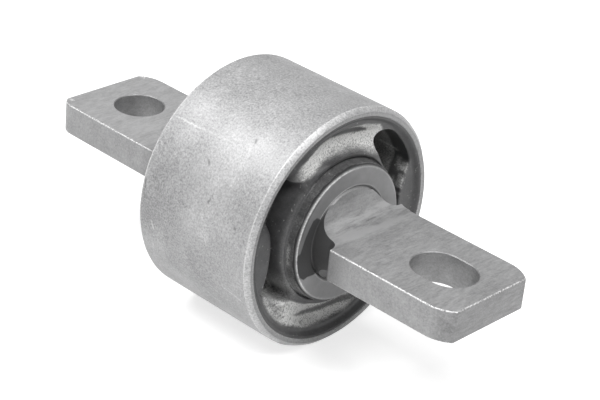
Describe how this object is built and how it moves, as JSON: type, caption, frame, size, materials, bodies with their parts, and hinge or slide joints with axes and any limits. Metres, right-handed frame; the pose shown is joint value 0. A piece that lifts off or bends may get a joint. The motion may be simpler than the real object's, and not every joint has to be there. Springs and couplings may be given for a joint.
{
  "type": "rubber metal bush with bar pin",
  "caption": "Rubber bush between a steel outer sleeve and an inner sleeve, with kidney voids and bump stops, carried on a bar pin whose flat ends have a slot and a round bolt hole.",
  "frame": {"origin": "middle of the outer sleeve, on its axis", "axes": "+X along the sleeve's axis towards the slotted ear, +Z square to the flat faces of the ears"},
  "size_m": [0.1331, 0.062, 0.062],
  "materials": {
    "sleeve_steel": "mottled matt grey, as phosphated",
    "rubber": "moulded satin, with a dusty bloom in places",
    "inner_steel": "faced end, dull",
    "pin_steel": "forged and brushed, satin"
  },
  "bodies": {
    "root": {"outer_sleeve": "sleeve_steel", "rubber_body": "rubber", "inner_sleeve": "inner_steel", "bar_pin": "pin_steel"}
  },
  "joints": []
}
